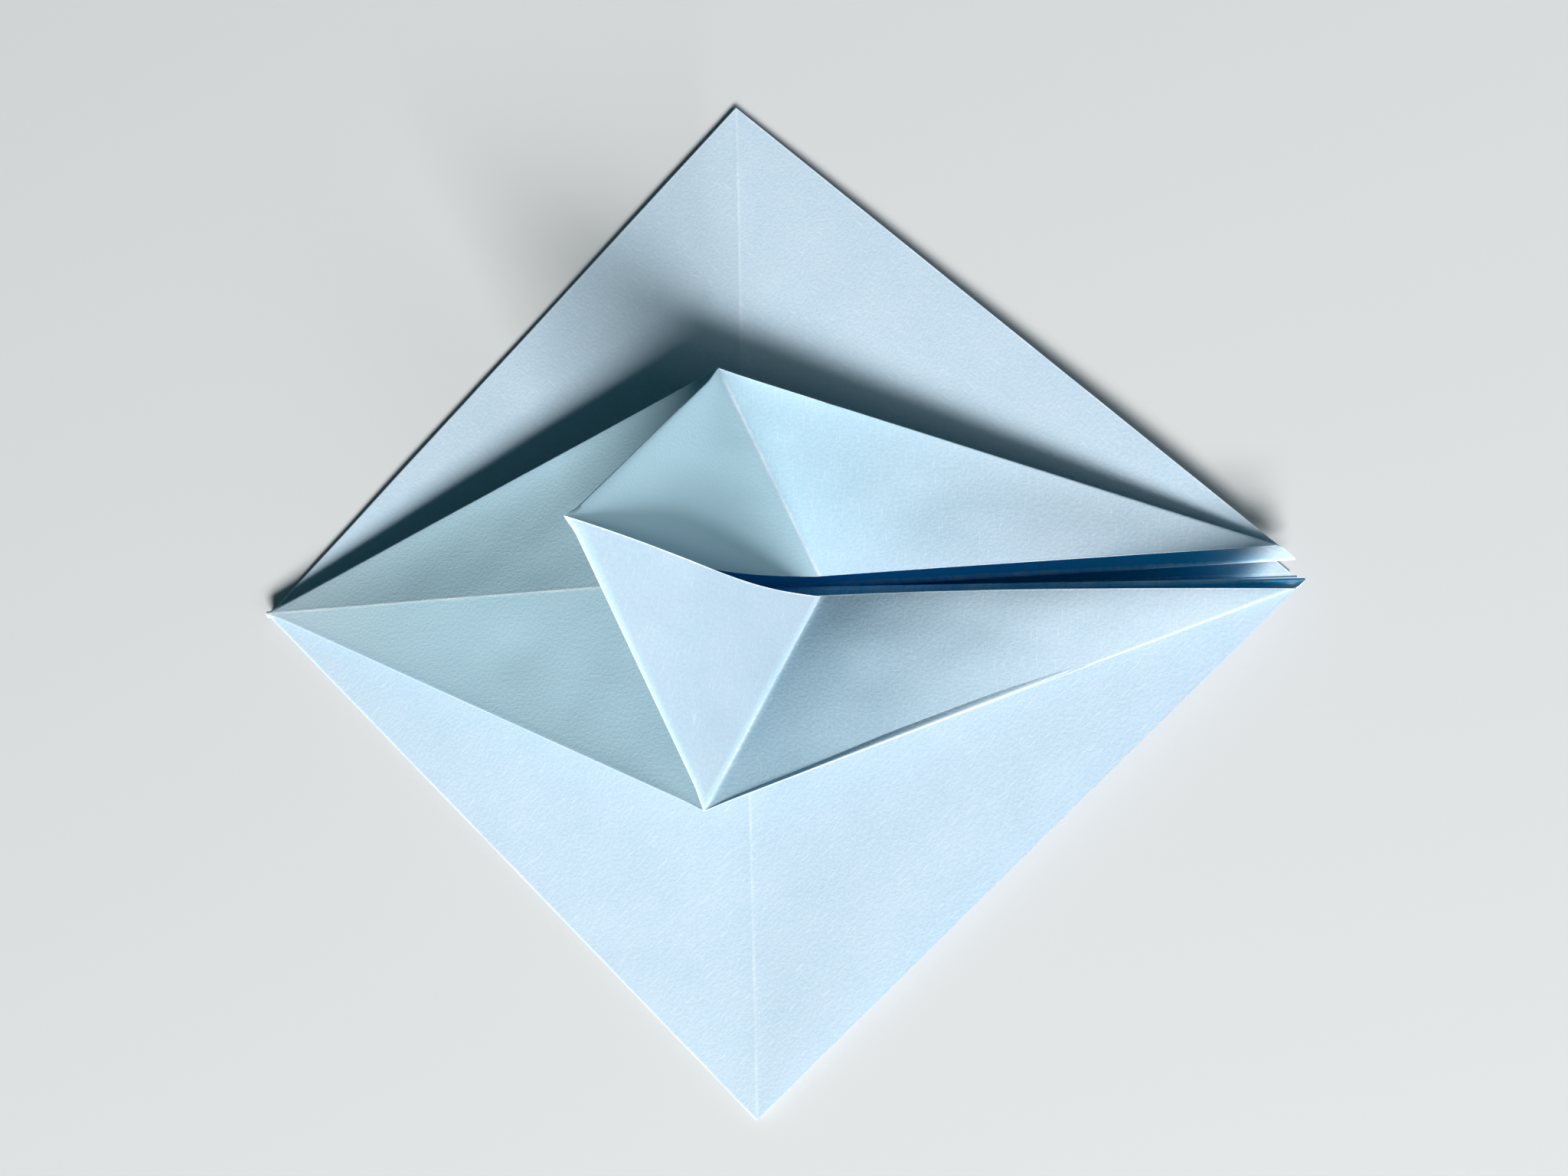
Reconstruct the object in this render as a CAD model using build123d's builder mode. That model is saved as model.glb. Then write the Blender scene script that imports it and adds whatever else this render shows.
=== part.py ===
from build123d import *

import os
from math import cos, radians, sin, sqrt, tan

# An origami flower base, folded from one square sheet and left half opened: a folded square lies flat,
# and on it stands a kite with two raised wings and one petal that has sprung up.
# Millimetres and degrees. X runs from the closed tip to the open tip, Z is up from the resting face,
# and the origin is the middle of the folded square.

# The sheet
sheet_side = 210.0
paper_thickness = 0.15

# The folded square, which lies on its lowest quarter
width_across = 144.0
side_corner_shift = 1.4
layer_pitch = 0.42
crease_swell = 0.03
tip_radius = 0.45
flap_crease_lift = 0.4

# The four paper corners at the open tip, which spring apart
upper_corner_shift = 1.7
upper_corner_lift = 2.5
inner_corner_shift = 0.9
inner_corner_lift = 3.0
lower_corner_shift = 1.6
lower_corner_lift = 7.2

# The kite: how far each wing opens, and how far from the paper's corner its outer fold ends
upper_wing_angle = 9.8
upper_fold_miss = 2.4
lower_wing_angle = 25.5
lower_fold_miss = 1.6

# The lower wing's outer fold hangs in a bend between its two ends
lower_fold_hang = 3.7
lower_fold_bend_share = 0.42

# The petal and the ridge below it
ridge_rise = 0.5
petal_angle = 73.5
petal_lean = 0.35

# Where an older crease meets the petal's loose edge: how far in towards the wing point, and off the face
lower_crease_inset = 1.0
lower_crease_stand = 1.5
upper_crease_inset = 0.0
upper_crease_stand = -4.2

# Where the loose edge of the sheet bends, just above the slit
upper_bend_shift = 1.7
upper_bend_lift = 5.4
lower_bend_shift = 1.1
lower_bend_lift = 6.2

# Worked out from the sheet: each of these folds halves a right angle twice
fold_angle = radians(22.5)
folded_side = sheet_side / 2
half_length = folded_side / sqrt(2)
half_width = width_across / 2
wing_reach = half_length * tan(fold_angle)
bend_from_corner = folded_side * (1 - tan(fold_angle))
petal_crease_share = sqrt(2) - 1
crease_radius = paper_thickness / 2 + crease_swell


def level(count):
    """Height of the middle of a layer that lies this many layers above the lowest."""
    return paper_thickness / 2 + count * layer_pitch


def closed_tip(height):
    """The sheet's centre, where all layers meet."""
    return Vector(-half_length, 0, height)


def side_corner(side, height):
    """Middle of a sheet edge, at the upper (+1) or lower (-1) corner of the folded square."""
    return Vector(side_corner_shift, side * half_width, height)


def open_tip(shift, height):
    """A corner of the sheet, at the open tip of the folded square."""
    return Vector(half_length, shift, height)


def flap_middle(corner, height):
    """Where the crease across a flap, between the side corners, meets the fold to a corner of the sheet."""
    share = (half_length + side_corner_shift) / (2 * half_length)
    return Vector(side_corner_shift, corner.Y * share, height)


def wing_points(side, corner, opening, fold_miss):
    """A wing's outer point, and the end of its outer fold, a little short of the sheet's corner."""
    fold = Plane(origin=(kite_tip + corner) / 2, x_dir=(0, side, 0), z_dir=corner - kite_tip)
    angle = radians(opening)
    outward = fold.x_dir * cos(angle) + fold.y_dir * (side * sin(angle))
    return fold.origin + outward * wing_reach, corner + (outward - fold.z_dir) * (fold_miss / sqrt(2))


def bend_point(shift, lift):
    """Where a wing's loose edge bends over the slit."""
    return Vector(half_length - bend_from_corner, shift, lift)


def petal_crease(side, wing, bend, inset, stand):
    """Where an older crease meets the petal's loose edge. A stand below zero sinks it behind the face."""
    spot = petal_tip + (bend - petal_tip) * petal_crease_share
    off_face = (bend - petal_tip).cross(wing - petal_tip).normalized() * side
    return spot + (wing - spot).normalized() * inset + off_face * stand


kite_tip = closed_tip(level(4))
upper_corner = open_tip(upper_corner_shift, upper_corner_lift + layer_pitch)
lower_corner = open_tip(-lower_corner_shift, lower_corner_lift + layer_pitch)
upper_wing, upper_fold_end = wing_points(1, upper_corner, upper_wing_angle, upper_fold_miss)
lower_wing, lower_fold_end = wing_points(-1, lower_corner, lower_wing_angle, lower_fold_miss)
lower_fold_bend = lower_wing + (lower_fold_end - lower_wing) * lower_fold_bend_share
lower_fold_bend -= Vector(0, 0, lower_fold_hang)

# The petal turns on the line between the wing points
petal_hinge = Plane(origin=(upper_wing + lower_wing) / 2, x_dir=(-1, 0, 0), z_dir=upper_wing - lower_wing)
raised = radians(petal_angle)
petal_reach = (wing_reach * cos(raised), ridge_rise + wing_reach * sin(raised), -petal_lean)
petal_tip = petal_hinge.from_local_coords(petal_reach)

# The loose edge runs from the petal's tip over the older creases to the bends
upper_bend = bend_point(upper_bend_shift, upper_bend_lift)
lower_bend = bend_point(-lower_bend_shift, lower_bend_lift)
upper_crease = petal_crease(1, upper_wing, upper_bend, upper_crease_inset, upper_crease_stand)
lower_crease = petal_crease(-1, lower_wing, lower_bend, lower_crease_inset, lower_crease_stand)

points = {
    "tip_under": closed_tip(0),
    "tip_0": closed_tip(level(0)),
    "tip_1": closed_tip(level(1)),
    "tip_2": closed_tip(level(2)),
    "tip_3": closed_tip(level(3)),
    "kite_tip": kite_tip,
    "upper_side_under": side_corner(1, 0),
    "upper_side_0": side_corner(1, level(0)),
    "upper_side_1": side_corner(1, level(1)),
    "lower_side_under": side_corner(-1, 0),
    "lower_side_0": side_corner(-1, level(0)),
    "lower_side_1": side_corner(-1, level(1)),
    "lower_side_2": side_corner(-1, level(2)),
    "lower_side_3": side_corner(-1, level(3)),
    "base_corner": open_tip(0, level(0)),
    "upper_corner_below": open_tip(upper_corner_shift, upper_corner_lift),
    "upper_corner": upper_corner,
    "inner_corner_below": open_tip(-inner_corner_shift, inner_corner_lift),
    "inner_corner": open_tip(-inner_corner_shift, inner_corner_lift + layer_pitch),
    "lower_corner_below": open_tip(-lower_corner_shift, lower_corner_lift),
    "lower_corner": lower_corner,
    "upper_middle": flap_middle(upper_corner, level(1) + flap_crease_lift),
    "lower_middle": flap_middle(lower_corner, level(3) + flap_crease_lift),
    "upper_wing": upper_wing,
    "lower_wing": lower_wing,
    "upper_fold_end": upper_fold_end,
    "lower_fold_end": lower_fold_end,
    "lower_fold_bend": lower_fold_bend,
    "ridge_end": petal_hinge.from_local_coords((0, ridge_rise, 0)),
    "petal_tip": petal_tip,
    "upper_crease": upper_crease,
    "lower_crease": lower_crease,
    "upper_bend": upper_bend,
    "lower_bend": lower_bend,
}

# The flat faces between the folds. Neighbours share two points, and that line is a fold.
# A face whose points lie one above the other is the narrow back of a fold.
panels = [
    # the quarter that lies on the table
    ("tip_0", "lower_side_0", "base_corner", "upper_side_0"),
    # the flap above it on the upper side
    ("tip_under", "upper_side_under", "upper_side_1", "tip_1"),
    ("tip_1", "upper_side_1", "upper_middle"),
    ("upper_middle", "upper_side_1", "upper_corner_below"),
    ("tip_1", "upper_middle", "upper_corner_below", "upper_corner", "kite_tip"),
    # the two flaps above it on the lower side
    ("tip_under", "lower_side_under", "lower_side_1", "tip_1"),
    ("tip_1", "lower_side_1", "inner_corner_below"),
    ("tip_1", "inner_corner_below", "inner_corner", "tip_2"),
    ("tip_2", "lower_side_2", "inner_corner"),
    ("tip_2", "lower_side_2", "lower_side_3", "tip_3"),
    ("tip_3", "lower_side_3", "lower_middle"),
    ("lower_middle", "lower_side_3", "lower_corner_below"),
    ("tip_3", "lower_middle", "lower_corner_below", "lower_corner", "kite_tip"),
    # the backs of the two wings
    ("kite_tip", "upper_wing", "upper_fold_end", "upper_corner"),
    ("kite_tip", "lower_wing", "lower_fold_bend"),
    ("kite_tip", "lower_fold_bend", "lower_corner"),
    ("lower_fold_bend", "lower_fold_end", "lower_corner"),
    # the front of the kite, up to the petal's hinge
    ("kite_tip", "upper_wing", "ridge_end"),
    ("kite_tip", "lower_wing", "ridge_end"),
    # the petal: its inner face, then the outer face that carries the loose edge
    ("ridge_end", "upper_wing", "petal_tip"),
    ("ridge_end", "lower_wing", "petal_tip"),
    ("petal_tip", "upper_wing", "upper_crease"),
    ("upper_crease", "upper_wing", "upper_bend"),
    ("petal_tip", "lower_wing", "lower_crease"),
    ("lower_crease", "lower_wing", "lower_bend"),
    # the top of each wing, along the slit
    ("upper_wing", "upper_bend", "upper_fold_end"),
    ("lower_wing", "lower_bend", "lower_fold_bend"),
    ("lower_fold_bend", "lower_bend", "lower_fold_end"),
]


def panel_edges(panel):
    """The lines round a panel, each as an unordered pair of point names."""
    return [frozenset(pair) for pair in zip(panel, panel[1:] + panel[:1])]


all_edges = [edge for panel in panels for edge in panel_edges(panel)]
folds = sorted({tuple(sorted(edge)) for edge in all_edges if all_edges.count(edge) > 1})

with BuildPart() as folded_sheet:
    # each panel is a plate of paper, half its thickness to each side of the sheet's middle
    for panel in panels:
        corners = [points[name] for name in panel]
        across = (corners[1] - corners[0]).cross(corners[2] - corners[0])
        face_plane = Plane(origin=corners[0], x_dir=corners[1] - corners[0], z_dir=across)
        with BuildSketch(face_plane):
            with BuildLine():
                Polyline(*[face_plane.to_local_coords(corner) for corner in corners], close=True)
            make_face()
        extrude(amount=paper_thickness / 2, both=True)
    # each fold is a thin rounded crease
    for start, end in folds:
        run = points[end] - points[start]
        with BuildSketch(Plane(origin=points[start], z_dir=run)):
            Circle(crease_radius)
        extrude(amount=run.length)
    # the layers gather in a blunt post at the closed tip
    with BuildSketch(Plane(origin=closed_tip(0))):
        Circle(tip_radius)
    extrude(amount=level(4))

folded_sheet.part.label = "folded_sheet"

os.makedirs("parts", exist_ok=True)
export_step(folded_sheet.part, "parts/folded_sheet.step")
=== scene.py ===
from math import cos, exp, pi, radians, sin, sqrt, tan

import bmesh
import bpy
import numpy as np
from mathutils import Matrix, Vector, noise


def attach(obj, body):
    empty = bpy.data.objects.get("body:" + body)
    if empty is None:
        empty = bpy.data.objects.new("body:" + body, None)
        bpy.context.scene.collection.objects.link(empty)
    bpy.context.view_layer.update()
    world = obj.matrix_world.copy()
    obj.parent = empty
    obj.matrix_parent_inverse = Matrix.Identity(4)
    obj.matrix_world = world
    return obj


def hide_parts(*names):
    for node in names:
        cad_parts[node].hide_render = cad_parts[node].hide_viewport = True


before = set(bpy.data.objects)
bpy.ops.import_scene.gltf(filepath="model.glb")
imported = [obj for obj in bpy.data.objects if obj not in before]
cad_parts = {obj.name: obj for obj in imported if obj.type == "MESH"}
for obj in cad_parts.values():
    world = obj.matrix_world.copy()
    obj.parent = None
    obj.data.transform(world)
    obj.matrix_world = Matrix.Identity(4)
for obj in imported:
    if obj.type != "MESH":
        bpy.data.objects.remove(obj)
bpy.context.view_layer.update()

# A square of pale blue craft paper, folded into a flower base and left half opened.
# Lengths are millimetres here and turn to metres when the mesh is made. X runs from the closed tip
# to the open tip, Z is up, and the origin is the middle of the folded square, as in the solid.
MM = 0.001

# ---- The sheet and the places where its folds end

SHEET_SIDE = 210.0
THICKNESS = 0.15

# The folded square, which lies on its lowest quarter
WIDTH_ACROSS = 144.0
SIDE_SHIFT = 1.4
LAYER_PITCH = 0.42
FLAP_CREASE_LIFT = 0.4

# The paper corners at the open tip: how far each lies from the middle line, and how high it stands
UPPER_CORNER_SHIFT, UPPER_CORNER_LIFT = 1.7, 2.5
INNER_CORNER_SHIFT, INNER_CORNER_LIFT = -0.9, 3.0
LOWER_CORNER_SHIFT, LOWER_CORNER_LIFT = -1.6, 7.2

# How far each wing opens, in degrees, and how far from the paper's corner its outer fold ends
UPPER_WING_ANGLE, UPPER_FOLD_MISS = 9.8, 2.4
LOWER_WING_ANGLE, LOWER_FOLD_MISS = 25.5, 1.6

# The petal and the ridge below it
RIDGE_RISE = 0.5
PETAL_ANGLE = 73.5
PETAL_LEAN = 0.35

# Where the loose edge of the sheet bends, just above the slit
UPPER_BEND_SHIFT, UPPER_BEND_LIFT = 1.7, 5.4
LOWER_BEND_SHIFT, LOWER_BEND_LIFT = -1.1, 6.2

# Worked out from the sheet: each of these folds halves a right angle twice. The edge and the hinge are
# measured from the sheet's centre.
FOLD_ANGLE = radians(22.5)
EDGE = SHEET_SIDE / 2
HALF_LENGTH = EDGE / sqrt(2)
WING_REACH = HALF_LENGTH * tan(FOLD_ANGLE)
HINGE = EDGE - WING_REACH
BEND_FROM_CORNER = EDGE * (1 - tan(FOLD_ANGLE))
OLD_CREASE_SHARE = sqrt(2) - 1
MIDDLE_SHARE = (HALF_LENGTH + SIDE_SHIFT) / (2 * HALF_LENGTH)


def point(x, y, z):
    return np.array([x, y, z], dtype=float)


def unit(vector):
    return vector / np.linalg.norm(vector)


def unit_rows(vectors):
    return vectors / np.linalg.norm(vectors, axis=-1, keepdims=True)


def between(start, end, share):
    return start + (end - start) * share


def level(count):
    """Height of the middle of a layer that lies this many layers above the lowest."""
    return THICKNESS / 2 + count * LAYER_PITCH


def closed_tip(count):
    """The sheet's centre, where all layers meet."""
    return point(-HALF_LENGTH, 0, level(count))


def side_corner(side, count):
    """Middle of a sheet edge, at the upper (+1) or lower (-1) corner of the folded square."""
    return point(SIDE_SHIFT, side * WIDTH_ACROSS / 2, level(count))


def open_tip(shift, height):
    """A corner of the sheet, at the open tip of the folded square."""
    return point(HALF_LENGTH, shift, height)


def one_higher(where):
    """The same place one layer higher."""
    return where + point(0, 0, LAYER_PITCH)


def flap_middle(corner, count):
    """The middle of a flap's fold to its corner of the sheet, where an older crease meets it."""
    return point(SIDE_SHIFT, corner[1] * MIDDLE_SHARE, level(count) + FLAP_CREASE_LIFT)


def wing_points(side, corner, opening, fold_miss):
    """A wing's outer point, and where its outer fold meets the sheet's edge, a little short of the corner."""
    along = unit(corner - kite_tip)
    across = point(0, side, 0)
    across = unit(across - along * across.dot(along))
    angle = radians(opening)
    outward = across * cos(angle) + np.cross(along, across) * (side * sin(angle))
    middle = (kite_tip + corner) / 2
    return middle + outward * WING_REACH, corner + (outward - along) * (fold_miss / sqrt(2))


kite_tip = closed_tip(4)
upper_below = open_tip(UPPER_CORNER_SHIFT, UPPER_CORNER_LIFT)
inner_below = open_tip(INNER_CORNER_SHIFT, INNER_CORNER_LIFT)
lower_below = open_tip(LOWER_CORNER_SHIFT, LOWER_CORNER_LIFT)
upper_corner, inner_corner = one_higher(upper_below), one_higher(inner_below)
lower_corner = one_higher(lower_below)
upper_wing, upper_end = wing_points(1, upper_corner, UPPER_WING_ANGLE, UPPER_FOLD_MISS)
lower_wing, lower_end = wing_points(-1, lower_corner, LOWER_WING_ANGLE, LOWER_FOLD_MISS)
upper_bend = point(HALF_LENGTH - BEND_FROM_CORNER, UPPER_BEND_SHIFT, UPPER_BEND_LIFT)
lower_bend = point(HALF_LENGTH - BEND_FROM_CORNER, LOWER_BEND_SHIFT, LOWER_BEND_LIFT)

# The petal turns on the line between the wing points
hinge_along = unit(upper_wing - lower_wing)
hinge_back = unit(point(-1, 0, 0) - hinge_along * -hinge_along[0])
hinge_up = np.cross(hinge_along, hinge_back)
petal_run = hinge_back * cos(radians(PETAL_ANGLE)) + hinge_up * sin(radians(PETAL_ANGLE))
ridge_end = (upper_wing + lower_wing) / 2 + hinge_up * RIDGE_RISE
petal_tip = ridge_end + petal_run * WING_REACH - hinge_along * PETAL_LEAN

# ---- The folded sheet's surface: fans of rays, each from one corner out to a line of places


def place(flat_x, flat_y, where):
    """A place on the sheet: where it is on the unfolded square, from its centre, then where it is on the
    folded one. The petal's tip is the middle of one edge, and the halves to both sides of it are alike."""
    return np.array([flat_x, flat_y, *where], dtype=float)


def eased(count, finest=0.08, zone=0.22):
    """Shares from 0 to 1 whose steps grow finer towards both ends, which are folds."""
    middle = (np.arange(count) + 0.5) / count
    steps = np.minimum(1, finest + np.minimum(middle, 1 - middle) / zone)
    return np.concatenate([[0], np.cumsum(steps)]) / steps.sum()


# Shares along a ray, from its corner out
RAY_ROWS = eased(44, finest=0.05, zone=0.3)
SIDE_ROWS = eased(40, finest=0.05, zone=0.3)

# Steps along the stretches of a far line
RIDGE_STEPS, PETAL_STEPS, NEAR_EDGE_STEPS, FAR_EDGE_STEPS, SLIT_STEPS, CORNER_STEPS = 34, 18, 14, 16, 28, 4
HALF_FOLD_STEPS = 26
TURN_STEPS = 6

# An edge stands off its face almost evenly along the ray, and is set in mostly near the ray's end. The ridge
# grows out to the ray's end, and an outer fold hangs most a little before its middle.
STAND_GROWTH = 1.2
INSET_GROWTH = 2
RIDGE_GROWTH = 1.6
HANG_LEAN = 1.2

# A rounded fold takes along this many columns to each side, and at most this share of the room there. The
# face's direction is read at an early column, and the rounding fades over the last share of the ray before
# a join.
ROUNDED_COLUMNS = 11
ROUNDED_ROOM = 0.8
FACE_COLUMN = 3
JOIN_FADE = 0.05

# The low ridge of an older crease across a flap: its height and width, and the share of it that fades at an end
OLD_CREASE_RISE = 0.16
OLD_CREASE_WIDTH = 1.6
OLD_CREASE_FADE = 0.12


def bow(share, peak, lean=1.0):
    """A smooth bow over the shares 0 to 1. A lean above 1 moves its top towards the end."""
    return peak * np.sin(pi * np.asarray(share)**lean)


def tent(share, peak, top):
    """A bow with a crease in it, at the share where it is highest."""
    share = np.asarray(share)
    return peak * np.minimum(share / top, (1 - share) / (1 - top))


def smooth(share):
    """The same share, with a soft start and end."""
    return share * share * (3 - 2 * share)


def straight(share):
    return np.zeros(len(share))


def fan(apex, stretches, rows, side):
    """Rows of places along rays from the apex. Each stretch of the far line has its two ends, its number of
    steps, how far its face swells outward, and how far its far edge is set in and stands off its flat face."""
    blocks = []
    for start, end, steps, swell, inset, stand in stretches:
        share = eased(steps)
        far = start + share[:, None] * (end - start)
        block = apex + rows[:, None, None] * (far - apex)
        outward = unit(np.cross(start[2:] - apex[2:], end[2:] - apex[2:])) * -side
        inward = -unit_rows(far[:, 2:] - apex[2:])
        reach = rows[:, None]
        puff = swell * np.sin(pi * share)[None, :] * np.sin(pi * reach)
        block[..., 2:] += outward * (puff + stand(share)[None, :] * reach**STAND_GROWTH)[..., None]
        block[..., 2:] += inward[None, :, :] * (inset(share)[None, :] * reach**INSET_GROWTH)[..., None]
        blocks.append(block if not blocks else block[:, 1:])
    return np.concatenate(blocks, axis=1)


def round_fold(rows, column, width, joined):
    """Rounds the fold that runs out along one column of a fan, over a width to each side of it. Where its far
    end is joined to another fan, the rounding fades before that."""
    last = rows.shape[1] - 1
    # a fan goes once round, so its last column lies on its first one
    same = last if column == 0 else column
    before = same - np.arange(1, ROUNDED_COLUMNS + 1)
    after = column + np.arange(1, ROUNDED_COLUMNS + 1)
    before, after = before[before >= 0], after[after <= last]
    spot = rows[:, column, 2:].copy()
    back = unit_rows(rows[:, before[FACE_COLUMN], 2:] - spot + 1e-9)
    ahead = unit_rows(rows[:, after[FACE_COLUMN], 2:] - spot + 1e-9)
    room = np.minimum(
        np.linalg.norm(rows[:, before[-1], 2:] - spot, axis=1),
        np.linalg.norm(rows[:, after[-1], 2:] - spot, axis=1),
    )
    wide = np.maximum(np.minimum(width, ROUNDED_ROOM * room), 1e-6)
    fade = np.clip((1 - RAY_ROWS) / JOIN_FADE, 0, 1) if joined else np.ones(len(RAY_ROWS))
    inward = (back + ahead) * (wide * smooth(fade))[:, None]
    for near in {column, same, *before.tolist(), *after.tolist()}:
        gap = np.linalg.norm(rows[:, near, 2:] - spot, axis=1) / wide
        share = np.clip(1 - gap, 0, 1)**2 / 4
        share[0] = 0
        rows[:, near, 2:] += inward * share[:, None]


def turn(first, second, outward):
    """The narrow half round in which the paper turns back on itself along a flat fold."""
    angles = np.linspace(0, pi, TURN_STEPS + 1)[:, None, None]
    middle, half = (first + second) / 2, (first - second) / 2
    depth = np.linalg.norm(half[:, 2:], axis=1)[None, :, None] * np.sin(angles)
    rows = middle + half * np.cos(angles)
    rows[..., 2:] += depth * outward
    return rows


def flap(side_place, start, middle, end, swell):
    """One loose triangle of the sheet, with an older crease from its side corner to its middle, as a low ridge."""
    stretches = [
        (start, middle, HALF_FOLD_STEPS, swell, straight, straight),
        (middle, end, HALF_FOLD_STEPS, swell, straight, straight),
    ]
    rows = fan(side_place, stretches, SIDE_ROWS, -1)
    crease = rows[:, HALF_FOLD_STEPS:HALF_FOLD_STEPS + 1, 2:]
    across = np.linalg.norm(rows[..., 2:] - crease, axis=2)
    ends = np.clip(np.minimum(SIDE_ROWS, 1 - SIDE_ROWS) / OLD_CREASE_FADE, 0, 1)[:, None]
    rows[..., 4] += OLD_CREASE_RISE * np.exp(-across / OLD_CREASE_WIDTH) * ends
    return rows


def kite_half(side, wing, bend, end, corner, fold_miss, shape):
    """Half of the kite and of the petal, as one fan round the wing's outer point."""
    tip_place = place(0, 0, kite_tip)
    apex = place(HINGE, side * WING_REACH, wing)
    ridge_place = place(HINGE, 0, ridge_end)
    petal_place = place(EDGE, 0, petal_tip)
    bend_place = place(EDGE, side * EDGE * OLD_CREASE_SHARE, bend)
    crease_place = between(petal_place, bend_place, OLD_CREASE_SHARE)
    end_place = place(EDGE, side * (EDGE - fold_miss), end)
    corner_place = place(EDGE, side * EDGE, corner)
    middle_place = between(corner_place, tip_place, 1 - MIDDLE_SHARE)

    # the petal's loose edge bows as one line, with a crease where its two stretches meet
    def loose_edge(first, last):
        """The inset and the stand along one stretch of the edge, from one share of its length to another."""
        crisp = shape["stand"] * shape["crease_crisp"]

        def inset(share):
            return bow(between(first, last, share), shape["inset"], shape["inset_lean"])

        def stand(share):
            along = between(first, last, share)
            soft = bow(along, shape["stand"] - crisp, shape["stand_lean"])
            return soft + tent(along, crisp, OLD_CREASE_SHARE)

        return inset, stand

    def slit_stand(share):
        return bow(share, shape["slit_stand"])

    stretches = [
        (tip_place, ridge_place, RIDGE_STEPS, shape["front"], straight, straight),
        (ridge_place, petal_place, PETAL_STEPS, shape["inner"], straight, straight),
        (petal_place, crease_place, NEAR_EDGE_STEPS, 0, *loose_edge(0, OLD_CREASE_SHARE)),
        (crease_place, bend_place, FAR_EDGE_STEPS, 0, *loose_edge(OLD_CREASE_SHARE, 1)),
        (bend_place, end_place, SLIT_STEPS, shape["top"], straight, slit_stand),
        (end_place, corner_place, CORNER_STEPS, 0, straight, straight),
        (corner_place, middle_place, HALF_FOLD_STEPS, shape["back"], straight, straight),
        (middle_place, tip_place, HALF_FOLD_STEPS, shape["back"], straight, straight),
    ]
    rows = fan(apex, stretches, RAY_ROWS, side)
    ends = np.cumsum([stretch[2] for stretch in stretches])
    hinge_column, petal_column, crease_column, bend_column, fold_column = ends[:5]

    # the outer fold hangs in a curve, and takes the faces to both sides of it along
    columns = rows.shape[1]
    near_fold = np.zeros(columns)
    near_fold[bend_column:fold_column + 1] = eased(SLIT_STEPS)
    near_fold[fold_column:] = np.linspace(1, 0, columns - fold_column)
    hang = RAY_ROWS * (1 - RAY_ROWS)**HANG_LEAN
    rows[..., 4] -= shape["hang"] * hang[:, None] * near_fold[None, :]

    # the ridge from the closed tip to the petal stands a little proud between its ends
    rows[:, :hinge_column + 1, 4] += RAY_ROWS[:, None]**RIDGE_GROWTH * bow(eased(RIDGE_STEPS), shape["ridge"])

    # the folds: the column that each runs along, its width, and whether its far end is joined to another fan
    for column, width, joined in (
        (hinge_column, 0.7, True), (petal_column, 1.2, True), (crease_column, 0.6, False),
        (bend_column, 0.7, False), (fold_column, 0.5, False), (0, 0.6, True),
    ):
        round_fold(rows, column, width, joined)
    return rows


# How each half is shaped, in mm. The petal's loose edge is set in and stands off its flat face, each as a bow
# with a lean, and a share of the stand is a crease. The outer fold hangs by about a fifth of its value. The
# edge along the slit stands up, the ridge rises, and each face swells outward or, below zero, inward.
LOWER_SHAPE = {
    "inset": 1.15, "inset_lean": 1.6, "stand": 1.5, "stand_lean": 1.0, "crease_crisp": 0.35, "hang": 16.0,
    "slit_stand": 0.8, "ridge": 0.4, "front": -0.3, "inner": -0.2, "top": -0.3, "back": 0.3,
}
UPPER_SHAPE = {
    "inset": 0.0, "inset_lean": 1.0, "stand": -4.2, "stand_lean": 1.3, "crease_crisp": 0.0, "hang": 0.0,
    "slit_stand": 2.2, "ridge": 0.4, "front": -0.6, "inner": -0.2, "top": -0.8, "back": 0.3,
}
FLAP_SWELL = 0.15
lower_kite = kite_half(1, lower_wing, lower_bend, lower_end, lower_corner, LOWER_FOLD_MISS, LOWER_SHAPE)
upper_kite = kite_half(-1, upper_wing, upper_bend, upper_end, upper_corner, UPPER_FOLD_MISS, UPPER_SHAPE)

# The layers under the kite. Each has its side corner, then the places of its fold along the middle line.
lower_flap = flap(
    place(0, EDGE, side_corner(-1, 3)), place(EDGE, EDGE, lower_below),
    place(EDGE / 2, EDGE / 2, flap_middle(lower_corner, 3)), place(0, 0, closed_tip(3)), FLAP_SWELL,
)
upper_flap = flap(
    place(0, -EDGE, side_corner(1, 1)), place(EDGE, -EDGE, upper_below),
    place(EDGE / 2, -EDGE / 2, flap_middle(upper_corner, 1)), place(0, 0, closed_tip(1)), -FLAP_SWELL,
)
inner_high = flap(
    place(0, EDGE, side_corner(-1, 2)), place(-EDGE, EDGE, inner_corner),
    place(-EDGE / 2, EDGE / 2, flap_middle(inner_corner, 2)), place(0, 0, closed_tip(2)), 0,
)
inner_low = flap(
    place(-EDGE, 0, side_corner(-1, 1)), place(-EDGE, EDGE, inner_below),
    place(-EDGE / 2, EDGE / 2, flap_middle(inner_below, 1)), place(0, 0, closed_tip(1)), 0,
)
base_corner = place(-EDGE, -EDGE, open_tip(0, level(0)))
base_middle = place(-EDGE / 2, -EDGE / 2, point(0, 0, level(0)))
base_tip = place(0, 0, closed_tip(0))
base_lower = flap(place(-EDGE, 0, side_corner(-1, 0)), base_corner, base_middle, base_tip, 0)
base_upper = flap(place(0, -EDGE, side_corner(1, 0)), base_corner, base_middle, base_tip, 0)

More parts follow.
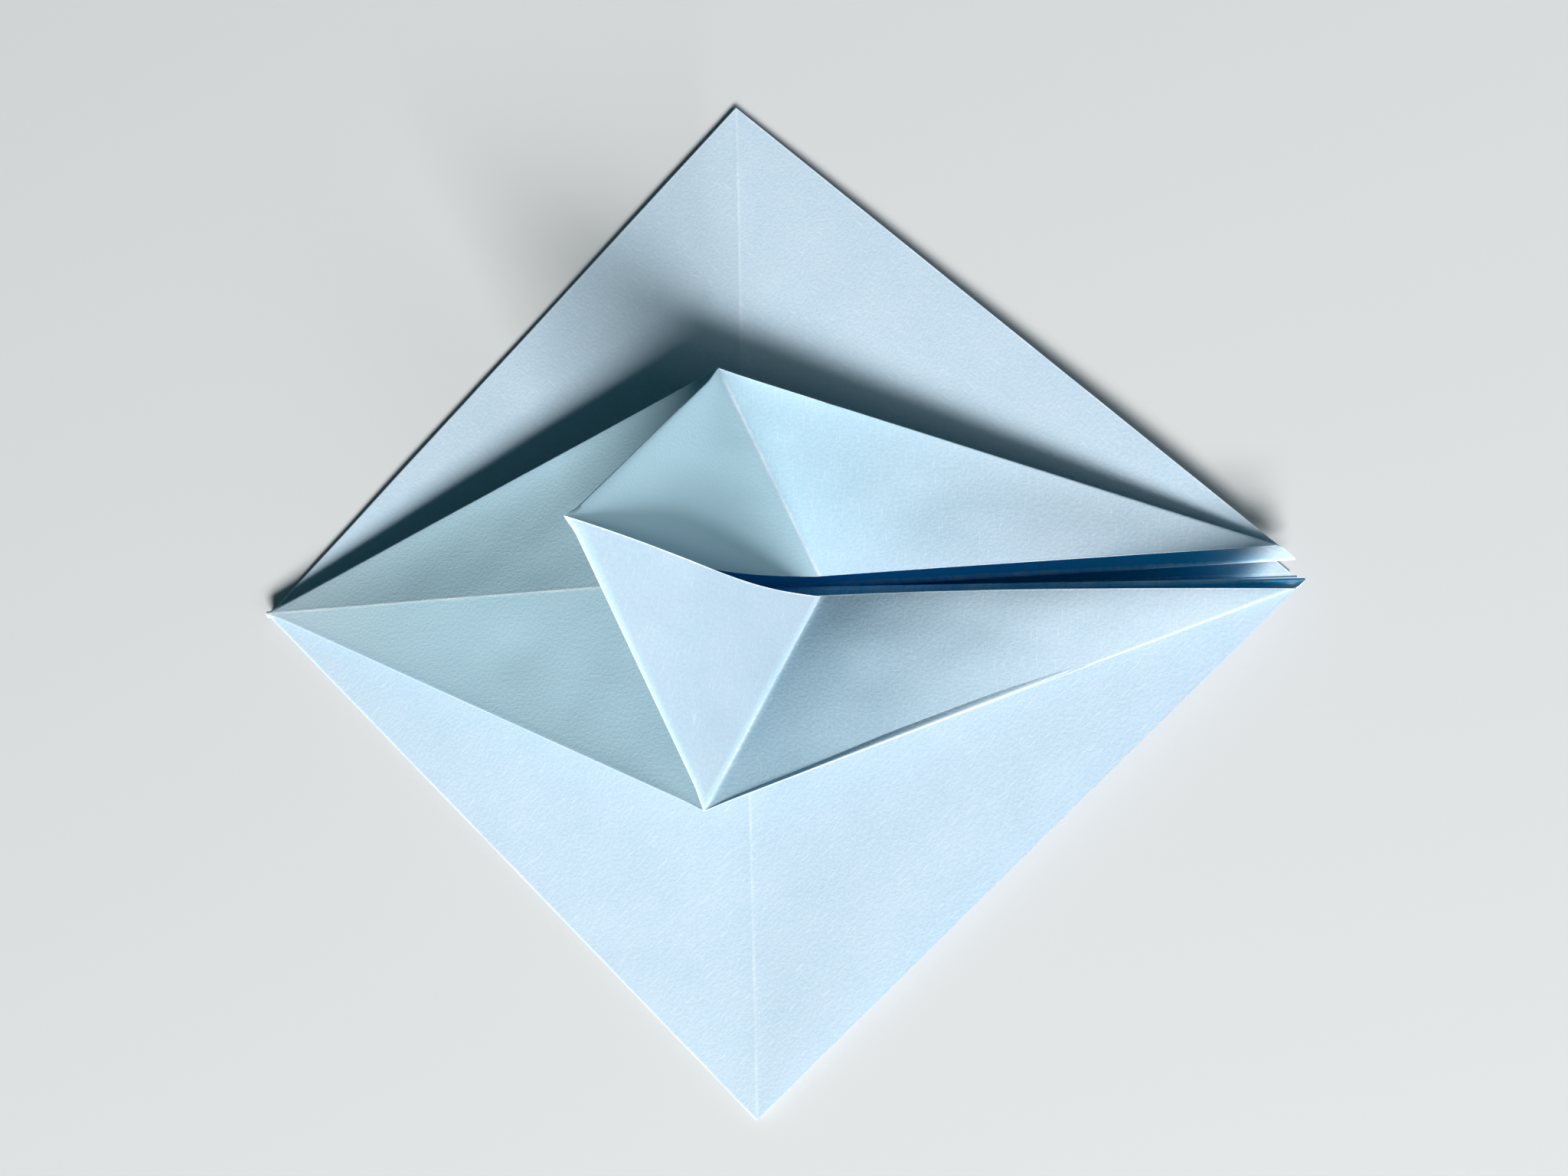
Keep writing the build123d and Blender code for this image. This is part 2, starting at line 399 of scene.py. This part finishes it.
# The flat folds: three along the middle line, at the slit, and three at the side corners
slit_up, slit_down = point(0, 1, 0), point(0, -1, 0)
out_lower, out_upper = unit(point(-1, -1, 0)), unit(point(-1, 1, 0))
kite_fold = slice(-2 * HALF_FOLD_STEPS - 1, None)
SHEET_PARTS = [
    lower_kite, upper_kite, lower_flap, upper_flap, inner_high, inner_low, base_lower, base_upper,
    turn(lower_kite[-1, kite_fold], lower_flap[-1], slit_up),
    turn(upper_kite[-1, kite_fold], upper_flap[-1], slit_down),
    turn(inner_high[-1], inner_low[-1], slit_up),
    turn(lower_flap[:, -1], inner_high[:, -1], out_lower),
    turn(inner_low[:, -1], base_lower[:, -1], out_lower),
    turn(upper_flap[:, -1], base_upper[:, -1], out_upper),
]


def joined_grids(parts):
    """All places of these grids in one list, and the quads between them. Places that fall together are
    joined later."""
    places, quads, count = [], [], 0
    for rows in parts:
        high, wide = rows.shape[:2]
        number = count + np.arange(high * wide).reshape(high, wide)
        corners = [number[:-1, :-1], number[:-1, 1:], number[1:, 1:], number[1:, :-1]]
        quads.append(np.stack(corners, axis=-1).reshape(-1, 4))
        places.append(rows.reshape(-1, rows.shape[2]))
        count += high * wide
    return np.concatenate(places), np.concatenate(quads)


# ---- Creases, as lines on the unfolded sheet: tight ones are folded flat, open ones stand at a wide angle,
# and old ones lie almost flat again
TIGHT_CREASES, OPEN_CREASES, OLD_CREASES = [], [], []
for y in (1, -1):
    wing_flat = (HINGE, y * WING_REACH)
    TIGHT_CREASES += [
        ((0, 0), wing_flat), (wing_flat, (EDGE, 0)), (wing_flat, (EDGE, y * EDGE)), ((0, 0), (EDGE, y * EDGE)),
        ((0, 0), (0, y * EDGE)), ((0, 0), (-EDGE, y * EDGE)), ((0, 0), (-EDGE, 0)),
    ]
    OPEN_CREASES += [
        (wing_flat, (HINGE, 0)), (wing_flat, (EDGE, y * EDGE * OLD_CREASE_SHARE)), ((0, 0), (HINGE, 0)),
    ]
    OLD_CREASES += [((HINGE, 0), (EDGE, 0)), ((0, y * EDGE), wing_flat), ((0, y * EDGE), (-EDGE, 0))]
# a short one down the petal's lower face
OLD_CREASES += [((EDGE, 16.0), (85.0, 25.6))]
CUT_EDGES = [
    ((EDGE, -EDGE), (EDGE, EDGE)), ((EDGE, EDGE), (-EDGE, EDGE)),
    ((-EDGE, EDGE), (-EDGE, -EDGE)), ((-EDGE, -EDGE), (EDGE, -EDGE)),
]


def gap_to_lines(flat, lines):
    """How far each place on the unfolded sheet is from the nearest of these lines."""
    nearest = np.full(len(flat), np.inf)
    for start, end in lines:
        start, run = np.array(start, dtype=float), np.array(end, dtype=float) - np.array(start, dtype=float)
        along = np.clip((flat - start) @ run / run.dot(run), 0, 1)
        nearest = np.minimum(nearest, np.linalg.norm(flat - start - along[:, None] * run, axis=1))
    return nearest


# ---- Parts of the sheet where light and shade are painted into the colour, as shares over the unfolded sheet

# How far from the petal's foot the layer counts as free for the painted tint of light shining through, and where
# that ends, in mm
FREE_FULL, FREE_END = 40.0, 85.0

# Over how many mm the painted light and shade on the petal's faces and the painted light on the kite's front fade
# at a fold
PETAL_FADE, KITE_FADE = 1.2, 1.5

# Across the slit's walls, in shares of the kite's width there: where the painted shade starts to fade and ends
WALL_FULL, WALL_END = 0.3, 0.6

# Along them: the share of the middle line where the painted shade starts, over how many mm it deepens, and how
# far from the paper's corner daylight reaches in and the painted shade is left off. It ends over a few mm at the
# fold of a flap under a wing.
WALL_START, WALL_DEEPENS = 0.9, 8.0
DAYLIGHT_FULL, DAYLIGHT_END = 2.0, 12.0
FLAP_FADE = 2.0


def free_painted_through_light_share(flat):
    """Where the tint of light shining through the paper is painted: 1 where a single layer stands free, round the
    petal's foot, and 0 where layers lie together.
    """
    gap = np.linalg.norm(flat - np.array([HINGE, 0.0]), axis=1)
    return smooth(np.clip((FREE_END - gap) / (FREE_END - FREE_FULL), 0, 1))


def petal_face_painted_shading_share(flat, side):
    """Where light and shade are painted on the petal: 1 on its outer face on this side of its middle, fading to 0
    over its folds. The upper face gets painted light, the lower face painted shade.
    """
    wing_flat, bend_flat = np.array([HINGE, WING_REACH]), np.array([EDGE, EDGE * OLD_CREASE_SHARE])
    tip_flat = np.array([EDGE, 0.0])
    on_this_side = flat * np.array([1.0, side])
    share = np.ones(len(flat))
    for far, inner in ((tip_flat, bend_flat), (bend_flat, tip_flat)):
        run = unit(far - wing_flat)
        across = np.array([-run[1], run[0]])
        across = across * np.sign((inner - wing_flat).dot(across))
        share = np.minimum(share, np.clip((on_this_side - wing_flat) @ across / PETAL_FADE, 0, 1))
    return share


def kite_front_painted_light_share(flat):
    """Where light is painted on the kite's front: 1 on its two faces, fading to 0 over its folds."""
    from_fold = flat[:, 0] * WING_REACH / HINGE - np.abs(flat[:, 1])
    return np.clip(np.minimum(from_fold, HINGE - flat[:, 0]) / KITE_FADE, 0, 1)


def slit_wall_painted_shade_share(flat):
    """Where the slit's shade is painted in: 1 on the walls of the slit, along the folds from the sheet's centre to
    its corners. 0 on the outer part of the kite's faces and on the flaps under the wings. Daylight reaches the
    last centimetre of all walls but the lower wing's, and the painted shade is left off there."""
    x, y = flat[:, 0], flat[:, 1]
    along = (np.abs(x) + np.abs(y)) / sqrt(2)
    gap = np.abs(np.abs(x) - np.abs(y)) / sqrt(2)
    left = 2 * HALF_LENGTH - along
    kite_wide = WING_REACH * np.clip(left / HALF_LENGTH, 0.02, 1)
    share = np.clip((WALL_END * kite_wide - gap) / ((WALL_END - WALL_FULL) * kite_wide), 0, 1)
    shade = np.clip((left - DAYLIGHT_FULL) / (DAYLIGHT_END - DAYLIGHT_FULL), 0, 1)
    shade = np.where((x > 0) & (y > 0), 1, shade)
    under_wing = np.where(x > 0, np.clip((np.abs(y) - x) / FLAP_FADE, 0, 1), 0)
    start = np.clip((along - WALL_START * HALF_LENGTH) / WALL_DEEPENS, 0, 1)
    return share * shade * (1 - under_wing) * start


# ---- The unevenness of handled paper

# How far it waves, and how wide the bumps are, in mm: slow waves and short ripples, in the lying layers and in
# the raised ones
LYING_WAVE, LYING_WAVE_SIZE = 0.14, 42
LYING_RIPPLE, LYING_RIPPLE_SIZE = 0.02, 12
RAISED_WAVE, RAISED_WAVE_SIZE = 0.16, 30
RAISED_RIPPLE, RAISED_RIPPLE_SIZE = 0.03, 9

# The noise behind the waves: its gain, and how its finer levels fall off, shrink and how many there are
WAVE_GAIN, WAVE_FALL, WAVE_SHRINK, WAVE_LEVELS = 1.6, 0.9, 2.1, 3

# From which height a layer counts as raised, over how many mm it comes free, and how wide a fold calms it
RAISED_FROM, RAISED_OVER, FOLD_CALMS = 2.5, 4.0, 8.0

# Soft dents from fingers: place on the unfolded sheet, radius and depth in mm. Each ends where the square of the
# distance, in radii, reaches the value before them.
DENT_END = 6
DENTS = [
    ((30, -62), 7.0, 0.22), ((38, -70), 6.0, -0.18), ((55, -80), 8.0, 0.15), ((20, 70), 9.0, 0.15),
    ((93, 50), 4.5, 0.12), ((100, 64), 5.0, 0.10), ((45, 9), 5.0, 0.12), ((55, -12), 5.0, -0.12),
    ((96, -58), 5.0, 0.12),
]


def waves(x, y, pattern, size):
    """Slow unevenness of handled paper, about -1 to 1, with bumps of about this size in mm. Each pattern number
    gives other bumps."""
    spot = Vector((x / size, y / size, pattern))
    return WAVE_GAIN * noise.fractal(spot, WAVE_FALL, WAVE_SHRINK, WAVE_LEVELS)


def shape_paper(bm):
    """Lets the lying layers wave together, and the raised ones each in their own way, with a few soft dents."""
    flat_layer, tight_layer = bm.verts.layers.float_vector["flat"], bm.verts.layers.float["tight"]
    bm.normal_update()
    moves = []
    for vert in bm.verts:
        x, y, z = vert.co / MM
        flat_x, flat_y = vert[flat_layer].x / MM, vert[flat_layer].y / MM
        # the lying layers rise together, and their lowest stays on the table
        lying = LYING_WAVE * (0.6 + 0.5 * waves(x, y, 3.0, LYING_WAVE_SIZE))
        lying += LYING_RIPPLE * waves(x, y, 8.0, LYING_RIPPLE_SIZE)
        lying = max(lying, 0) * min(max(z / (2 * THICKNESS), 0), 1)
        # the raised ones bend along their own surface, with a rim round each dent
        bend = RAISED_WAVE * waves(flat_x, flat_y, 5.0, RAISED_WAVE_SIZE)
        bend += RAISED_RIPPLE * waves(flat_x, flat_y, 9.0, RAISED_RIPPLE_SIZE)
        for (dent_x, dent_y), radius, depth in DENTS:
            gap = ((flat_x - dent_x)**2 + (flat_y - dent_y)**2) / radius**2
            if gap < DENT_END:
                bend += depth * (1 - gap) * exp(-gap)
        free = min(max((z - RAISED_FROM) / RAISED_OVER, 0), 1) * min(vert[tight_layer] / (FOLD_CALMS * MM), 1)
        moves.append(Vector((0, 0, lying)) + vert.normal * bend * free)
    for vert, move in zip(bm.verts, moves):
        vert.co += move * MM


# ---- The sheet as one piece

# Vertices closer than the first are joined, and edges shorter than the second melt away, in mm. Faces that meet
# at more than this angle, in degrees, keep a sharp edge.
SAME_POINT, NO_LENGTH = 0.004, 0.002
SHARP_ANGLE = 50


def add_values(mesh, name, values):
    """Gives each vertex of the mesh a value under this name, which the material reads."""
    mesh.attributes.new(name, "FLOAT", "POINT").data.foreach_set("value", values.astype(np.float32))


def clear_outer_painted_slit_shade(mesh, one_side):
    """Keeps the painted shade of the slit's walls to the inner side of the sheet, which alone looks into the
    slit. The outer side is the one that faces up on the kite's front. One side's vertices are marked."""
    walls, front = np.zeros(len(one_side), dtype=np.float32), np.zeros(len(one_side), dtype=np.float32)
    mesh.attributes["slit_wall_painted_shade"].data.foreach_get("value", walls)
    mesh.attributes["kite_front_painted_light"].data.foreach_get("value", front)
    upward = np.array([vert.normal.z for vert in mesh.vertices])
    outer_side = one_side if upward[one_side & (front > 0.5)].mean() > 0 else ~one_side
    walls[outer_side] = 0
    mesh.attributes["slit_wall_painted_shade"].data.foreach_set("value", walls)


def build_sheet():
    """Joins the fans into one sheet, lets it wave a little and gives it the paper's thickness."""
    places, quads = joined_grids(SHEET_PARTS)
    mesh = bpy.data.meshes.new("folded_paper")
    mesh.from_pydata((places[:, 2:] * MM).tolist(), [], quads.tolist())
    flat = places[:, :2]
    flat_vectors = np.zeros((len(places), 3), dtype=np.float32)
    flat_vectors[:, :2] = flat * MM
    mesh.attributes.new("flat", "FLOAT_VECTOR", "POINT").data.foreach_set("vector", flat_vectors.ravel())
    kinds = {"tight": TIGHT_CREASES, "open": OPEN_CREASES, "old": OLD_CREASES, "cut": CUT_EDGES}
    for kind, lines in kinds.items():
        add_values(mesh, kind, gap_to_lines(flat, lines) * MM)
    add_values(mesh, "free", free_painted_through_light_share(flat))
    add_values(mesh, "slit_wall_painted_shade", slit_wall_painted_shade_share(flat))
    add_values(mesh, "petal_lower_painted_shade", petal_face_painted_shading_share(flat, 1))
    add_values(mesh, "petal_upper_painted_light", petal_face_painted_shading_share(flat, -1))
    add_values(mesh, "kite_front_painted_light", kite_front_painted_light_share(flat))

    bm = bmesh.new()
    bm.from_mesh(mesh)
    bmesh.ops.remove_doubles(bm, verts=bm.verts, dist=SAME_POINT * MM)
    bmesh.ops.dissolve_degenerate(bm, dist=NO_LENGTH * MM, edges=bm.edges)
    bmesh.ops.recalc_face_normals(bm, faces=bm.faces)
    shape_paper(bm)
    bm.to_mesh(mesh)
    bm.free()

    piece = bpy.data.objects.new("folded_paper", mesh)
    bpy.context.scene.collection.objects.link(piece)
    thicken = piece.modifiers.new("thickness", "SOLIDIFY")
    thicken.thickness, thicken.offset, thicken.use_even_offset = THICKNESS * MM, 0, False
    graph = bpy.context.evaluated_depsgraph_get()
    solid_mesh = bpy.data.meshes.new_from_object(piece.evaluated_get(graph))
    piece.modifiers.clear()
    piece.data = solid_mesh

    # the thickened mesh has the vertices of one side of the sheet before those of the other
    clear_outer_painted_slit_shade(solid_mesh, np.arange(len(solid_mesh.vertices)) < len(mesh.vertices))
    solid_mesh.shade_smooth()
    solid_mesh.set_sharp_from_angle(angle=radians(SHARP_ANGLE))
    return piece


# ---- Finishes

# How a crease or a cut edge is worn: the width that turns pale, in mm, and how pale it turns
WORN_LINES = {"tight": (0.18, 0.45), "open": (0.36, 0.75), "old": (0.3, 0.4), "cut": (0.2, 0.7)}


def linear(hex_colour):
    """An sRGB colour such as #aabbcc as the linear values that a shader takes."""
    values = [int(hex_colour[i:i + 2], 16) / 255 for i in (1, 3, 5)]
    return tuple(v / 12.92 if v <= 0.04045 else ((v + 0.055) / 1.055) ** 2.4 for v in values) + (1.0,)


def add(tree, kind, settings):
    """Adds a node. Each setting is an option of the node, or the value or the link that an input gets."""
    node = tree.nodes.new(kind)
    for name, value in settings.items():
        if isinstance(name, str) and hasattr(node, name):
            setattr(node, name, value)
        elif isinstance(value, bpy.types.NodeSocket):
            tree.links.new(value, node.inputs[name])
        else:
            node.inputs[name].default_value = value
    return node


def new_material(name):
    material = bpy.data.materials.new(name)
    material.use_nodes = True
    material.node_tree.nodes.clear()
    return material, material.node_tree


def wove_coloured_paper():
    """Uncoated wove paper of 80 g to a square metre, dyed in the pulp and then calendered. To the eye it is
    matt, faintly cloudy where the pulp lies thicker, with a fine tooth and stray fibres. Light comes through
    it, deeper in colour than the light it throws back, so a single layer that stands free looks bluer than
    the layers that lie together, and the walls of the narrow slit look deepest. Creases break the paper's
    surface, which leaves pale fibres.
    The real sheet is one colour. The tints by place are painted light and shade that even out light and dark: the
    free layer is painted bluer for light shining through it, the kite's front and the petal's upper face get
    painted light, the petal's lower face gets painted shade, and the slit's walls a painted deep shade."""
    material, tree = new_material("wove_coloured_paper")
    flat = add(tree, "ShaderNodeAttribute", {"attribute_name": "flat"}).outputs["Vector"]
    in_mm = add(tree, "ShaderNodeVectorMath", {"operation": "SCALE", 0: flat, "Scale": 1 / MM}).outputs[0]

    # The pulp clouds over about 9 mm. The tooth is 0.2 mm across on real paper and is drawn at 0.5 mm.
    cloud = add(tree, "ShaderNodeTexNoise", {"Vector": in_mm, "Scale": 1 / 9.0, "Detail": 3.0, "Roughness": 0.6})
    thick = add(tree, "ShaderNodeMapRange", {
        "Value": cloud.outputs[0], "From Min": 0.3, "From Max": 0.7,
    }).outputs[0]
    tooth = add(tree, "ShaderNodeTexNoise", {"Vector": in_mm, "Scale": 1 / 0.5, "Detail": 2.0, "Roughness": 0.6})
    tooth_high = add(tree, "ShaderNodeMapRange", {
        "Value": tooth.outputs[0], "From Min": 0.36, "From Max": 0.64, "To Max": 0.45,
    }).outputs[0]

    # Fibres lie in two directions. Real ones are 0.03 mm wide, drawn 0.3 mm wide so that they show.
    laid = []
    for direction in (0.5, -0.9):
        along = add(tree, "ShaderNodeMapping", {
            "Vector": in_mm, "Scale": (0.12, 1.0, 1.0), "Rotation": (0.0, 0.0, direction),
        }).outputs[0]
        streaks = add(tree, "ShaderNodeTexNoise", {
            "Vector": along, "Scale": 1 / 0.3, "Detail": 1.0, "Roughness": 0.4,
        })
        laid.append(streaks.outputs[0])
    either = add(tree, "ShaderNodeMath", {"operation": "MAXIMUM", 0: laid[0], 1: laid[1]}).outputs[0]
    fibres = add(tree, "ShaderNodeMapRange", {
        "Value": either, "From Min": 0.62, "From Max": 0.8, "To Max": 0.5,
    }).outputs[0]

    # Worn lines follow the creases with a ragged edge, and are paler in some runs than in others
    ragged = add(tree, "ShaderNodeTexNoise", {"Vector": in_mm, "Scale": 1 / 0.8, "Detail": 3.0, "Roughness": 0.7})
    wander = add(tree, "ShaderNodeMapRange", {
        "Value": ragged.outputs[0], "To Min": -0.25 * MM, "To Max": 0.25 * MM,
    }).outputs[0]
    patchy = add(tree, "ShaderNodeTexNoise", {"Vector": in_mm, "Scale": 1 / 6.0, "Detail": 2.0})
    paler = add(tree, "ShaderNodeMapRange", {
        "Value": patchy.outputs[0], "From Min": 0.35, "From Max": 0.65, "To Min": 0.35,
    }).outputs[0]
    worn = 0.0
    for kind, (wide, pale) in WORN_LINES.items():
        gap = add(tree, "ShaderNodeAttribute", {"attribute_name": kind}).outputs["Fac"]
        edge = add(tree, "ShaderNodeMath", {"operation": "ADD", 0: gap, 1: wander}).outputs[0]
        line = add(tree, "ShaderNodeMapRange", {
            "Value": edge, "From Min": wide * MM, "From Max": 0.0, "To Max": pale,
        }).outputs[0]
        worn = add(tree, "ShaderNodeMath", {"operation": "MAXIMUM", 0: line, 1: worn}).outputs[0]
    creased = add(tree, "ShaderNodeMath", {"operation": "MULTIPLY", 0: worn, 1: paler}).outputs[0]

    # Colour, from the dyed pulp up to the broken fibres, with painted light and shade between: a bluer tint on the
    # free layer painted for light shining through it, painted light on the kite's front and the petal's upper
    # face, painted shade on the petal's lower face, and painted deep shade on the slit's walls
    free, walls, petal_lower_painted_shade, petal_upper_painted_light, kite_front_painted_light = (
        add(tree, "ShaderNodeAttribute", {"attribute_name": name}).outputs["Fac"]
        for name in ("free", "slit_wall_painted_shade", "petal_lower_painted_shade", "petal_upper_painted_light", "kite_front_painted_light")
    )
    colour = linear("#bdd5e2")
    for share, blend, over in (
        (thick, "MIX", "#c6dbe8"), (tooth_high, "MIX", "#d0e1ec"), (fibres, "MIX", "#e2ebf2"),
        (kite_front_painted_light, "MIX", "#cfe6ee"), (petal_upper_painted_light, "MIX", "#d6ecf4"),
        (free, "MULTIPLY", "#eaf9fc"), (petal_lower_painted_shade, "MULTIPLY", "#e5dbdb"),
        (walls, "MIX", "#30c2fc"), (creased, "MIX", "#f4fafc"),
    ):
        colour = add(tree, "ShaderNodeMix", {
            "data_type": "RGBA", "blend_type": blend, 0: share, 6: colour, 7: linear(over),
        }).outputs[2]
    through_colour = add(tree, "ShaderNodeMix", {
        "data_type": "RGBA", 0: thick, 6: linear("#60c2e6"), 7: linear("#4ab3de"),
    }).outputs[2]

    # Creases and fibres stand up from the tooth
    height = tooth_high
    for share, rise in ((creased, 1.2), (fibres, 0.5)):
        height = add(tree, "ShaderNodeMath", {
            "operation": "MULTIPLY_ADD", 0: share, 1: rise, 2: height,
        }).outputs[0]
    bump = add(tree, "ShaderNodeBump", {"Strength": 0.6, "Distance": 0.035 * MM, "Height": height}).outputs[0]
    rough = add(tree, "ShaderNodeMapRange", {"Value": creased, "To Min": 0.86, "To Max": 0.97}).outputs[0]

    paper = add(tree, "ShaderNodeBsdfPrincipled", {
        "Base Color": colour, "Roughness": rough, "Normal": bump, "Specular IOR Level": 0.3,
    }).outputs[0]
    through = add(tree, "ShaderNodeBsdfTranslucent", {"Color": through_colour, "Normal": bump}).outputs[0]
    mix = add(tree, "ShaderNodeMixShader", {0: 0.25, 1: paper, 2: through}).outputs[0]
    add(tree, "ShaderNodeOutputMaterial", {"Surface": mix})
    return material


def matt_floor():
    """A board painted matt, plain to the eye."""
    material, tree = new_material("matt_pale_floor")
    board = add(tree, "ShaderNodeBsdfPrincipled", {"Roughness": 0.9, "Base Color": linear("#babdbe")}).outputs[0]
    add(tree, "ShaderNodeOutputMaterial", {"Surface": board})
    return material


paper_sheet = build_sheet()
paper_sheet.data.materials.append(wove_coloured_paper())

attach(paper_sheet, "root")
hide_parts("folded_sheet")

# ---- Floor, light and camera, in metres

# The floor lies a hair under the paper
FLOOR_REACH = 3.0
FLOOR_LEVEL = -0.0001
FLOOR_CORNERS = [
    (x * FLOOR_REACH, y * FLOOR_REACH, FLOOR_LEVEL) for x, y in ((-1, -1), (1, -1), (1, 1), (-1, 1))
]
floor_mesh = bpy.data.meshes.new("floor")
floor_mesh.from_pydata(FLOOR_CORNERS, [], [(0, 1, 2, 3)])
floor = bpy.data.objects.new("floor", floor_mesh)
bpy.context.scene.collection.objects.link(floor)
floor.data.materials.append(matt_floor())

LAMP_DISTANCE = 3.0


def area_light(name, azimuth, elevation, wide, high, watts, colour):
    """A soft light, aimed at the middle of the object. Azimuth 0 is -Y, and grows towards +X."""
    data = bpy.data.lights.new(name, "AREA")
    data.shape, data.size, data.size_y = "RECTANGLE", wide, high
    data.energy, data.color = watts, colour
    lamp = bpy.data.objects.new(name, data)
    az, el = radians(azimuth), radians(elevation)
    away = Vector((sin(az) * cos(el), -cos(az) * cos(el), sin(el)))
    lamp.location = away * LAMP_DISTANCE
    lamp.rotation_euler = away.to_track_quat("Z", "Y").to_euler()
    bpy.context.scene.collection.objects.link(lamp)


area_light("window_light", 15, 30, 1.6, 0.75, 242.0, (1.0, 0.97, 0.96))
area_light("side_window_light", 50, 26, 0.9, 0.75, 15.0, (1.0, 0.97, 0.96))
area_light("room_light", 72, 26, 1.3, 1.0, 8.0, (0.90, 1.0, 1.0))

# The world fills the shadows a little with the cool light of the sky, and shows plain and pale behind the floor
world = bpy.data.worlds.new("studio")
world.use_nodes = True
sky = world.node_tree
sky.nodes.clear()
seen = add(sky, "ShaderNodeLightPath", {}).outputs["Is Camera Ray"]
fill = add(sky, "ShaderNodeBackground", {"Color": (0.30, 0.84, 1.0, 1.0), "Strength": 0.08}).outputs[0]
backdrop = add(sky, "ShaderNodeBackground", {"Color": linear("#dcdedf"), "Strength": 1.0}).outputs[0]
either = add(sky, "ShaderNodeMixShader", {0: seen, 1: fill, 2: backdrop}).outputs[0]
add(sky, "ShaderNodeOutputWorld", {"Surface": either})
bpy.context.scene.world = world

# The photo's camera, fitted to the paper's corners: its place in mm, its turn as an axis whose length is the
# angle, and its focal length in pixels of the photo
CAMERA_PLACE = Vector((38.79, -13.12, 162.62))
CAMERA_TURN = Vector((-0.0809, -0.1961, 0.0329))
FOCAL_PIXELS = 1528.9
PHOTO_WIDTH = 2048
SENSOR_WIDTH = 36
camera_data = bpy.data.cameras.new("camera")
camera_data.sensor_width = SENSOR_WIDTH
camera_data.lens = FOCAL_PIXELS / PHOTO_WIDTH * SENSOR_WIDTH
camera = bpy.data.objects.new("camera", camera_data)
to_camera = Matrix.Rotation(CAMERA_TURN.length, 3, CAMERA_TURN.normalized())
camera.matrix_world = Matrix.Translation(CAMERA_PLACE * MM) @ to_camera.transposed().to_4x4()
bpy.context.scene.collection.objects.link(camera)
bpy.context.scene.camera = camera
bpy.context.scene.view_settings.view_transform = "Standard"
